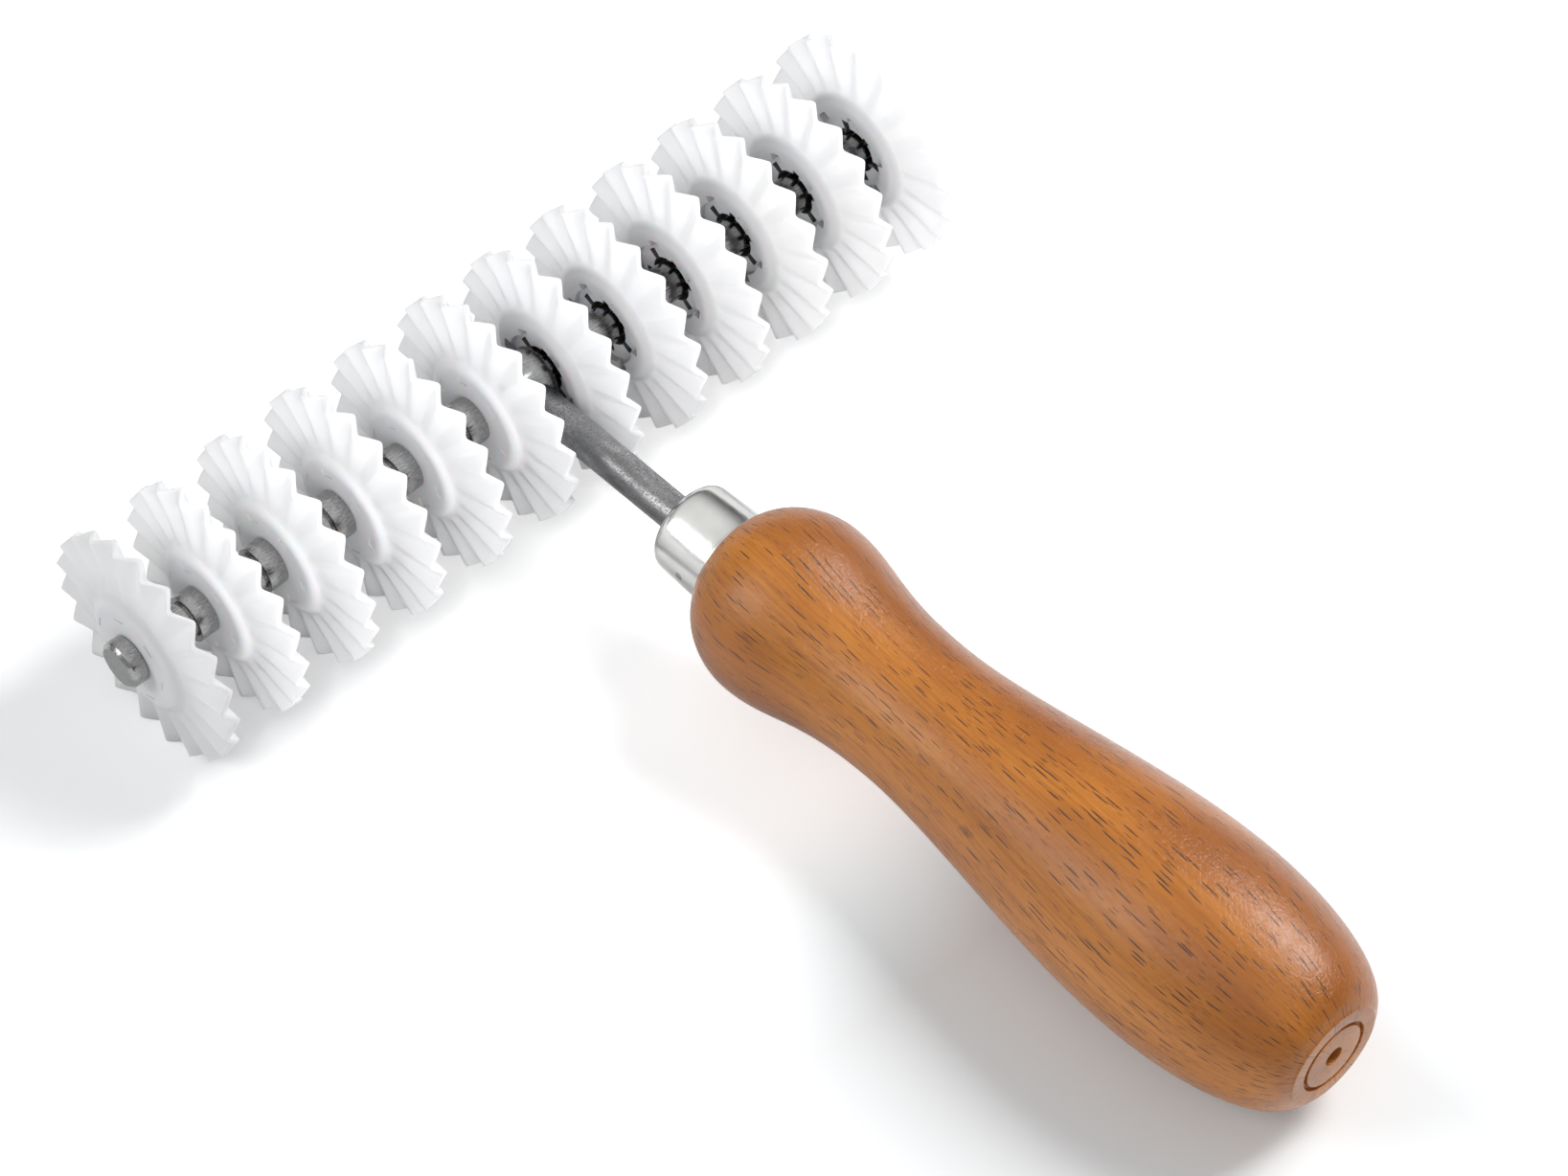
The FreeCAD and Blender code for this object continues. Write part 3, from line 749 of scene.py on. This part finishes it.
class FinishSettings(bpy.types.PropertyGroup):
    nylon_colour: colour("Nylon", "Main colour of the wheels", (0.93, 0.932, 0.94))
    nylon_shade: colour("Nylon Shade", "Slightly greyer nylon", (0.90, 0.903, 0.915))
    # the Nylon Hub, Nylon Inside, Nylon Face and Nylon Recess tones below are painted shade and
    # painted shadow for the hub and bore; the nylon itself is the white above
    nylon_hub_shade: colour("Nylon Hub", "Nylon where it is thick, round the hub", (0.47, 0.472, 0.482))
    nylon_hollow_shadow: colour("Nylon Inside", "Nylon deep in the bore", (0.06, 0.06, 0.062))
    nylon_face_shade: colour("Nylon Face", "Nylon of the hub's outboard face", (0.74, 0.743, 0.755))
    nylon_recess_shade: colour("Nylon Recess", "Nylon in the hub's shallow recess", (0.62, 0.622, 0.63))
    nylon_warm: colour("Nylon Warm", "Nylon that has yellowed a little", (0.93, 0.922, 0.89))
    steel_colour: colour("Steel", "Light tone of the turned steel", (0.50, 0.50, 0.495))
    steel_dark: colour("Steel Dark", "Dark tone of the turned steel", (0.2, 0.2, 0.197))
    bar_colour: colour("Bar", "Light tone of the drawn bar", (0.52, 0.52, 0.525))
    bar_dark: colour("Bar Dark", "Dark tone of the drawn bar", (0.15, 0.15, 0.152))
    pit_colour: colour("Pit", "Colour of the small pits in the bar", (0.03, 0.03, 0.03))
    nickel_colour: colour("Nickel", "Light tone of the ferrule", (0.83, 0.83, 0.81))
    nickel_shade: colour("Nickel Shade", "Dark tone of the ferrule", (0.72, 0.72, 0.7))
    beech_light: colour("Beech Light", "Lightest tone of the lacquered wood", (0.61, 0.22, 0.025))
    beech_colour: colour("Beech", "Main tone of the lacquered wood", (0.46, 0.148, 0.014))
    beech_deep: colour("Beech Deep", "Darkest tone of the lacquered wood", (0.28, 0.08, 0.009))
    fleck_colour: colour("Fleck", "Colour of the flecks in the wood", (0.07, 0.022, 0.008))
    end_light: colour("End Light", "Light tone of the bare end", (0.52, 0.27, 0.15))
    end_dark: colour("End Dark", "Dark tone of the bare end", (0.33, 0.14, 0.07))


class StageSettings(bpy.types.PropertyGroup):
    floor_colour: colour("Floor", "Colour of the floor", (0.862, 0.868, 0.873))
    world_strength: FloatProperty(
        name="Surroundings", description="Light from all round", default=0.35, min=0.0)
    key_power: watts("Key Lamp", "main soft lamp", 11.5)
    window_power: watts("Window Lamp", "soft lamp on the left", 2.8)
    fill_power: watts("Fill Lamp", "soft lamp beside the camera", 0.7)
    wheel_power: watts("Wheel Lamp", "soft lamp that lights only the wheels", 3.5)
    focal_length: FloatProperty(
        name="Focal Length", description="Focal length of the camera in millimetres",
        default=111.98, min=1.0)


class TracingWheelSettings(bpy.types.PropertyGroup):
    wheels: PointerProperty(type=WheelSettings, name="Wheels", description="Sizes of the wheels")
    stack: PointerProperty(type=StackSettings, name="Stack", description="Sizes of the stack")
    handle: PointerProperty(type=HandleSettings, name="Handle", description="Sizes of the handle")
    finishes: PointerProperty(type=FinishSettings, name="Finishes", description="Colours")
    stage: PointerProperty(type=StageSettings, name="Stage", description="Floor, light, camera")


# ---- operators --------------------------------------------------------------
def wheel_outline(wheel):
    """A wheel's section as a closed outline, outboard side first, and the marks for its notches."""
    plate = wheel.root_thickness / 2
    land = wheel.rim_land / 2
    root = wheel.pleat_start + 0.3
    floor = -HUB_HALF + wheel.counterbore_depth
    web = HUB_HALF - wheel.journal_length
    corners = [
        (HUB_HALF, wheel.journal_radius, 0.1),
        (HUB_HALF, wheel.counterbore_radius, 0.05),
        (HUB_HALF, wheel.shallow_key_radius, 0.05),
        (HUB_HALF, wheel.hub_radius, 0.9),
        (plate, root, 0.9),
        (land, WHEEL_RADIUS, 0.22),
        (-land, WHEEL_RADIUS, 0.22),
        (-plate, root, 0.9),
        (-HUB_HALF, wheel.hub_radius, 0.8),
        (-HUB_HALF, wheel.counterbore_radius, 0.2),
        (floor, wheel.counterbore_radius, 0.2),
        (floor, wheel.recess_radius, 0.15),
        (web, wheel.recess_radius, 0.15),
        (web, wheel.journal_radius, 0.1),
    ]
    points = filled_in(eased(corners, closed=True), 1.4)
    notch, step = wheel.deep_key_radius, wheel.shallow_key_radius
    deep = [
        notch if -HUB_HALF - 0.1 < p.x < web - 0.02 and p.y < notch + 0.1 else 0.0 for p in points]
    shallow = [
        step if p.x < floor + 0.01 and wheel.counterbore_radius - 0.25 < p.y < step + 0.1 else 0.0
        for p in points]
    sink = [
        SINK_DEPTH if p.x > HUB_HALF - 0.01 and wheel.counterbore_radius < p.y < step else 0.0
        for p in points]
    return points, {"deep_key": deep, "shallow_key": shallow, "sink": sink}


class TRACINGWHEEL_OT_wheels(bpy.types.Operator):
    """Make the twelve pleated wheels"""
    bl_idname = "tracing_wheel.wheels"
    bl_label = "Wheels"

    def execute(self, context):
        wheel = context.scene.tracing_wheel.wheels
        points, marks = wheel_outline(wheel)
        tree = tree_named("Pleated Wheel", pleated=True)
        coat = finish("Natural Nylon")
        for number, turn in enumerate(WHEEL_TURNS):
            node = "wheel_%02d" % (number + 1)
            place = AXLE.copy()
            place.x = middle(node).x
            piece = make_piece("nylon_" + node, tree, points, {
                "Columns": 360,
                "Heading": RIGHT if number >= WHEEL_COUNT // 2 else LEFT,
                "Turn": math.radians(turn),
                "Place": tuple(place),
                "Finish": coat,
                "Tooth Count": wheel.tooth_count,
                "Swing": wheel.tooth_rise / 2 * MM,
                "Pleat Start": wheel.pleat_start * MM,
                "Rim Radius": WHEEL_RADIUS * MM,
                "First Flank Share": wheel.first_flank,
                "Fold Crispness": wheel.fold_crispness,
                "Deep Key Half Angle": DEEP_KEY_HALF,
                "Shallow Key Half Angle": SHALLOW_KEY_HALF}, marks, crease=40.0)
            belongs(piece, node, node)
        return {"FINISHED"}


class TRACINGWHEEL_OT_stack(bpy.types.Operator):
    """Make the collars, caps, sleeves and cross head on the axle"""
    bl_idname = "tracing_wheel.stack"
    bl_label = "Axle Stack"

    def execute(self, context):
        stack = context.scene.tracing_wheel.stack
        steel = finish("Turned Steel")
        fine = 0.12

        def fitted(name, points, node, heading, turn=0.0):
            low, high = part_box(node)
            place = Vector((high[0] if heading == LEFT else low[0], AXLE.y, AXLE.z))
            turned_piece(name, points, steel, node, heading, turn, place)

        length = long_way("spacer_10")
        groove = stack.collar_length + 0.35
        spacer = eased([
            (0.0, stack.bore_radius), (0.0, stack.collar_radius, fine),
            (stack.collar_length, stack.collar_radius, fine),
            (stack.collar_length, stack.neck_radius - 0.35), (groove, stack.neck_radius - 0.35),
            (groove, stack.neck_radius, fine), (length, stack.neck_radius, fine),
            (length, stack.bore_radius)], closed=True)
        for number in range(1, WHEEL_COUNT - 1):
            fitted("collar_%02d" % number, spacer, "spacer_%02d" % number,
                   LEFT if number < WHEEL_COUNT // 2 else RIGHT, math.radians(37.0 * number))
        for side, heading in (("left", LEFT), ("right", RIGHT)):
            length = long_way("end_cap_" + side)
            cap = eased([
                (0.0, 0.0), (0.0, stack.collar_radius, fine),
                (length - stack.cap_chamfer, stack.collar_radius, 0.08),
                (length, stack.collar_radius - stack.cap_chamfer, 0.08), (length, 0.0)])
            fitted("cap_" + side, filled_in(cap, 1.0), "end_cap_" + side, heading)
            length = long_way("inner_sleeve_" + side)
            sleeve = tube(0.0, length, stack.bore_radius, stack.neck_radius, fine)
            fitted("sleeve_" + side, sleeve, "inner_sleeve_" + side, heading)
        half = long_way("cross_head") / 2
        head = tube(-half, half, stack.bore_radius, long_way("cross_head", axis=2) / 2, 0.3)
        turned_piece("turned_cross_head", filled_in(head, 1.0), steel,
                     "cross_head", RIGHT)
        rod = frame["nodes"]["axle_rod"]
        rod.data.materials.clear()
        rod.data.materials.append(steel)
        return {"FINISHED"}


class TRACINGWHEEL_OT_shank(bpy.types.Operator):
    """Make the round shank"""
    bl_idname = "tracing_wheel.shank"
    bl_label = "Shank"

    def execute(self, context):
        stack = context.scene.tracing_wheel.stack
        handle = context.scene.tracing_wheel.handle
        spigot, spigot_radius, seat = 2.6, 2.0, 4.1
        tang_length, taper, tip_radius = 41.0, 12.0, 2.0
        tip = handle.ferrule_distance + handle.ferrule_length + tang_length
        outline = eased([
            (spigot, 0.0), (spigot, spigot_radius), (seat, spigot_radius),
            (seat, stack.shank_radius, 0.15), (tip - taper, stack.shank_radius),
            (tip, tip_radius, 0.3), (tip, 0.0)])
        turned_piece("drawn_shank", filled_in(outline, 4.0), finish("Drawn Steel"),
                     "shank", DOWN_THE_HANDLE, HANDLE_TILT, columns=72)
        return {"FINISHED"}


class TRACINGWHEEL_OT_ferrule(bpy.types.Operator):
    """Make the ferrule and its nail"""
    bl_idname = "tracing_wheel.ferrule"
    bl_label = "Ferrule"

    def execute(self, context):
        sizes = context.scene.tracing_wheel.handle
        shank = context.scene.tracing_wheel.stack.shank_radius + 0.03
        front = sizes.ferrule_distance
        back = front + sizes.ferrule_length
        wall = sizes.ferrule_wall
        lip = sizes.ferrule_back + 0.22
        outline = eased([
            (front, shank, 0.1), (front, sizes.ferrule_front, 1.9),
            (back - 0.55, sizes.ferrule_back - 0.02, 0.1), (back - 0.5, lip, 0.12),
            (back, lip, 0.16), (back, sizes.ferrule_back - wall, 0.1),
            (front + wall, sizes.ferrule_front - wall, 0.8),
            (front + wall, shank)], closed=True, steps=6)
        plate = finish("Bright Nickel")
        turned_piece("nickel_ferrule", filled_in(outline, 1.2), plate, "ferrule",
                     DOWN_THE_HANDLE, HANDLE_TILT, columns=144)
        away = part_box("ferrule_pin")[0][0] / MM
        place = AXLE + HANDLE_AXIS * (front + sizes.pin_set_back) * MM
        place.x = 0.0
        nail = eased([
            (-away - 2.0, 0.0), (-away - 2.0, sizes.pin_radius),
            (-away - 0.05, sizes.pin_radius, 0.1), (-away, sizes.pin_radius * 0.4, 0.1),
            (-away, 0.0)])
        turned_piece("ferrule_nail", nail, finish("Turned Steel"),
                     "ferrule_pin", LEFT, 0.0, place, columns=32)
        return {"FINISHED"}


def level_to_level(start, end, poles, steps):
    """A curve between two points of the handle, level at both."""
    run = end[0] - start[0]
    first = (start[0] + poles[0] * run, start[1])
    second = (end[0] - poles[1] * run, end[1])
    return bezier([start, first, second, end], steps)


def handle_outline(sizes):
    """The handle from its tenon to the hole in its butt."""
    start = sizes.ferrule_distance + sizes.ferrule_length
    front = sizes.ferrule_distance + sizes.ferrule_wall + 0.05
    tenon_front = sizes.ferrule_front - sizes.ferrule_wall - 1.0
    tenon_back = sizes.ferrule_back - sizes.ferrule_wall - 0.05
    belly_at = BUTT_DISTANCE - sizes.belly_from_butt
    bulb_at = start + sizes.bulb_distance
    waist_at = start + sizes.waist_distance
    rise = sizes.bulb - sizes.shoulder
    fall = sizes.belly - sizes.butt
    (out, up), (on, top) = SHOULDER_POLES
    (flat, _), (back, down) = BUTT_POLES
    edge = (BUTT_DISTANCE - BUTT_CHAMFER, sizes.butt + BUTT_CHAMFER)
    points = [Vector((front, 0.0)), Vector((front, tenon_front)), Vector((start, tenon_back))]
    points.append(Vector((start, sizes.shoulder)))
    points += bezier([
        (start, sizes.shoulder),
        (start + out * sizes.bulb_distance, sizes.shoulder + up * rise),
        (start + on * sizes.bulb_distance, sizes.shoulder + top * rise),
        (bulb_at, sizes.bulb)], 26)
    points += level_to_level((bulb_at, sizes.bulb), (waist_at, sizes.waist), WAIST_POLES, 26)
    points += level_to_level((waist_at, sizes.waist), (belly_at, sizes.belly), BELLY_POLES, 40)
    points += bezier([
        (belly_at, sizes.belly), (belly_at + flat * sizes.belly_from_butt, sizes.belly),
        (BUTT_DISTANCE - back * sizes.belly_from_butt, sizes.butt + down * fall), edge], 34)
    ring_out, ring_in = sizes.ring_radius + 0.35, sizes.ring_radius - 0.35
    deep = BUTT_DISTANCE - 0.8
    end = eased([
        edge, (BUTT_DISTANCE, sizes.butt, 0.12), (BUTT_DISTANCE, ring_out, 0.1),
        (deep, ring_out - 0.05, 0.1), (deep, ring_in + 0.05, 0.1),
        (BUTT_DISTANCE, ring_in, 0.1), (BUTT_DISTANCE, sizes.hole_radius, 0.15),
        (BUTT_DISTANCE - sizes.hole_depth, sizes.hole_radius),
        (BUTT_DISTANCE - sizes.hole_depth, 0.0)])
    return points + end[1:]


class TRACINGWHEEL_OT_handle(bpy.types.Operator):
    """Make the turned beech handle"""
    bl_idname = "tracing_wheel.handle"
    bl_label = "Handle"

    def execute(self, context):
        sizes = context.scene.tracing_wheel.handle
        piece = turned_piece(
            "beech_handle", handle_outline(sizes), finish("Lacquered Beech"),
            "handle", DOWN_THE_HANDLE, HANDLE_TILT, columns=240, crease=30.0)
        piece.data.materials.append(finish("Bare Beech"))
        for face in piece.data.polygons:
            along = (face.center - AXLE).dot(HANDLE_AXIS) / MM
            from_axis = (face.center - AXLE - HANDLE_AXIS * along * MM).length / MM
            in_butt = along > BUTT_DISTANCE - 0.9 and from_axis < sizes.butt
            in_hole = (along > BUTT_DISTANCE - sizes.hole_depth - 1
                       and from_axis < sizes.hole_radius + 0.5)
            if in_butt or in_hole:
                face.material_index = 1
        return {"FINISHED"}


class TRACINGWHEEL_OT_stage(bpy.types.Operator):
    """Make the floor, the soft lamps and the camera"""
    bl_idname = "tracing_wheel.stage"
    bl_label = "Stage"

    def floor(self, scene, colour):
        """The floor, with a glow for camera rays: painted light near the wheels and right of the
        handle that washes out their shadows, and a faint cool painted glow elsewhere that keeps the
        handle's shadow but cools the wood's warm bounce in it.
        """
        f = Finish("pale_floor")
        mottle = f.noise(f.object, 3.0, 2.0)
        paint = f.blend(f.span(mottle, 0.3, 0.7, 0.0, 0.03), rgb(colour), (0.8, 0.8, 0.8, 1.0))
        f.set(Base_Color=paint, Roughness=0.9, Specular_IOR_Level=0.1)
        # painted light: a pool of glow near the wheels and right of the handle, stronger from the
        # axle's left end towards the middle and right, that washes out the shadows cast there
        spot = f.split(f.object)
        light_pool_by_wheels = f.larger(f.span(spot[1], -0.05, 0.0, 0.0, 1.0, True),
                          f.span(spot[0], 0.005, 0.05, 0.0, 1.0, True))
        most = f.span(spot[0], -0.09, 0.0, 0.24, 0.5, True)
        painted_light_lift = f.larger(f.times(light_pool_by_wheels, most), 0.06)
        camera_ray = f.node("ShaderNodeLightPath").outputs["Is Camera Ray"]
        # the glow is tinted cool away from the wheels, painting out the warm bounce from the wood
        # in the handle's shadow
        glow = f.node("ShaderNodeEmission", {
            "Color": f.blend(light_pool_by_wheels, (0.55, 0.88, 1.0, 1.0), WHITE),
            "Strength": f.times(camera_ray, painted_light_lift)})
        both = f.node("ShaderNodeAddShader")
        f.feed(both.inputs[0], f.shader.outputs[0])
        f.feed(both.inputs[1], glow.outputs[0])
        f.feed(f.tree.nodes["Material Output"].inputs["Surface"], both.outputs[0])
        mesh = bpy.data.meshes.new("floor")
        reach = FLOOR_REACH
        mesh.from_pydata(
            [(-reach, -reach, 0), (reach, -reach, 0), (reach, reach, 0), (-reach, reach, 0)], [],
            [(0, 1, 2, 3)])
        mesh.materials.append(f.material)
        floor = bpy.data.objects.new("floor", mesh)
        floor.location.z = -FLOOR_DROP
        scene.collection.objects.link(floor)

    def surroundings(self, scene, strength):
        """Even light for matt surfaces, a bright ceiling in mirrored ones, and white behind."""
        world = bpy.data.worlds.new("surroundings")
        world.use_nodes = True
        scene.world = world
        air = Rule(world.node_tree)
        path = air.node("ShaderNodeLightPath")
        glossy, seen = path.outputs["Is Glossy Ray"], path.outputs["Is Camera Ray"]
        sky = air.split(air.node("ShaderNodeTexCoord").outputs["Generated"])
        level = air.times(air.span(sky[2], -0.1, 0.85, 0.7, 1.0, True), strength)
        overhead = air.span(sky[2], 0.3, 0.85, 0.12, 0.85, True)
        beside = air.span(sky[0], 0.0, -0.8, 0.0, 0.3, True)
        level = air.plus(air.times(level, air.minus(1.0, glossy)),
                        air.times(air.plus(overhead, beside), glossy))
        level = air.times(level, air.minus(1.0, seen))
        background = world.node_tree.nodes["Background"]
        air.feed(background.inputs["Strength"], air.plus(level, seen))
        cool = air.blend(air.larger(glossy, seen), (0.975, 0.99, 1.0, 1.0), WHITE)
        air.feed(background.inputs["Color"], cool)

    def lamp(self, scene, name, place, target, size, power, mirrored):
        data = bpy.data.lights.new(name, "AREA")
        data.shape = "RECTANGLE"
        data.size, data.size_y = size
        data.energy = power
        lamp = bpy.data.objects.new(name, data)
        lamp.location = place
        turn = (Vector(place) - Vector(target)).to_track_quat("Z", "Y")
        lamp.rotation_euler = turn.to_euler()
        lamp.visible_glossy = mirrored
        scene.collection.objects.link(lamp)
        return lamp

    def camera(self, scene, focal_length):
        data = bpy.data.cameras.new("camera")
        data.lens = focal_length
        data.sensor_width = SENSOR_WIDTH
        data.clip_start = 0.01
        camera = bpy.data.objects.new("camera", data)
        forward = Vector(CAMERA_FORWARD).normalized()
        up = Vector(CAMERA_SIDE).normalized().cross(forward).normalized()
        side = forward.cross(up)
        turn = Matrix((side, up, -forward)).transposed()
        camera.matrix_world = Matrix.Translation(CAMERA_PLACE) @ turn.to_4x4()
        scene.collection.objects.link(camera)
        scene.camera = camera

    def execute(self, context):
        scene = context.scene
        stage = scene.tracing_wheel.stage
        scene.view_settings.view_transform = "Standard"
        self.floor(scene, stage.floor_colour)
        self.surroundings(scene, stage.world_strength)
        for name, (place, target, size, power, mirrored) in LAMPS.items():
            lamp = self.lamp(scene, name, place, target, size, getattr(stage, power), mirrored)
            if name == "wheel_lamp":
                wheels = bpy.data.collections.new("lit_by_wheel_lamp")
                for piece in scene.objects:
                    if piece.name.startswith("nylon_") and piece.name != "nylon_wheel_01":
                        wheels.objects.link(piece)
                lamp.light_linking.receiver_collection = wheels
        self.camera(scene, stage.focal_length)
        return {"FINISHED"}


class TRACINGWHEEL_PT_panel(bpy.types.Panel):
    """Lists the tool's pieces and their sizes"""
    bl_idname = "TRACINGWHEEL_PT_panel"
    bl_label = "Tracing Wheel"
    bl_space_type = "VIEW_3D"
    bl_region_type = "UI"
    bl_category = "Tracing Wheel"

    def draw(self, context):
        settings = context.scene.tracing_wheel
        groups = (
            (settings.wheels, ("tracing_wheel.wheels",)),
            (settings.stack, ("tracing_wheel.stack", "tracing_wheel.shank")),
            (settings.handle, ("tracing_wheel.ferrule", "tracing_wheel.handle")),
            (settings.finishes, ()),
            (settings.stage, ("tracing_wheel.stage",)))
        for group, operators in groups:
            box = self.layout.box()
            for name in group.bl_rna.properties.keys():
                if name not in {"rna_type", "name"}:
                    box.prop(group, name)
            for operator in operators:
                box.operator(operator)


CLASSES = (
    WheelSettings, StackSettings, HandleSettings, FinishSettings, StageSettings,
    TracingWheelSettings, TRACINGWHEEL_OT_wheels, TRACINGWHEEL_OT_stack, TRACINGWHEEL_OT_shank,
    TRACINGWHEEL_OT_ferrule, TRACINGWHEEL_OT_handle, TRACINGWHEEL_OT_stage,
    TRACINGWHEEL_PT_panel)


def register():
    for cls in CLASSES:
        bpy.utils.register_class(cls)
    bpy.types.Scene.tracing_wheel = PointerProperty(type=TracingWheelSettings)


def unregister():
    del bpy.types.Scene.tracing_wheel
    for cls in reversed(CLASSES):
        bpy.utils.unregister_class(cls)


def main():
    register()
    bpy.ops.tracing_wheel.wheels()
    bpy.ops.tracing_wheel.stack()
    bpy.ops.tracing_wheel.shank()
    bpy.ops.tracing_wheel.ferrule()
    bpy.ops.tracing_wheel.handle()
    bpy.ops.tracing_wheel.stage()


if __name__ == "__main__":
    main()
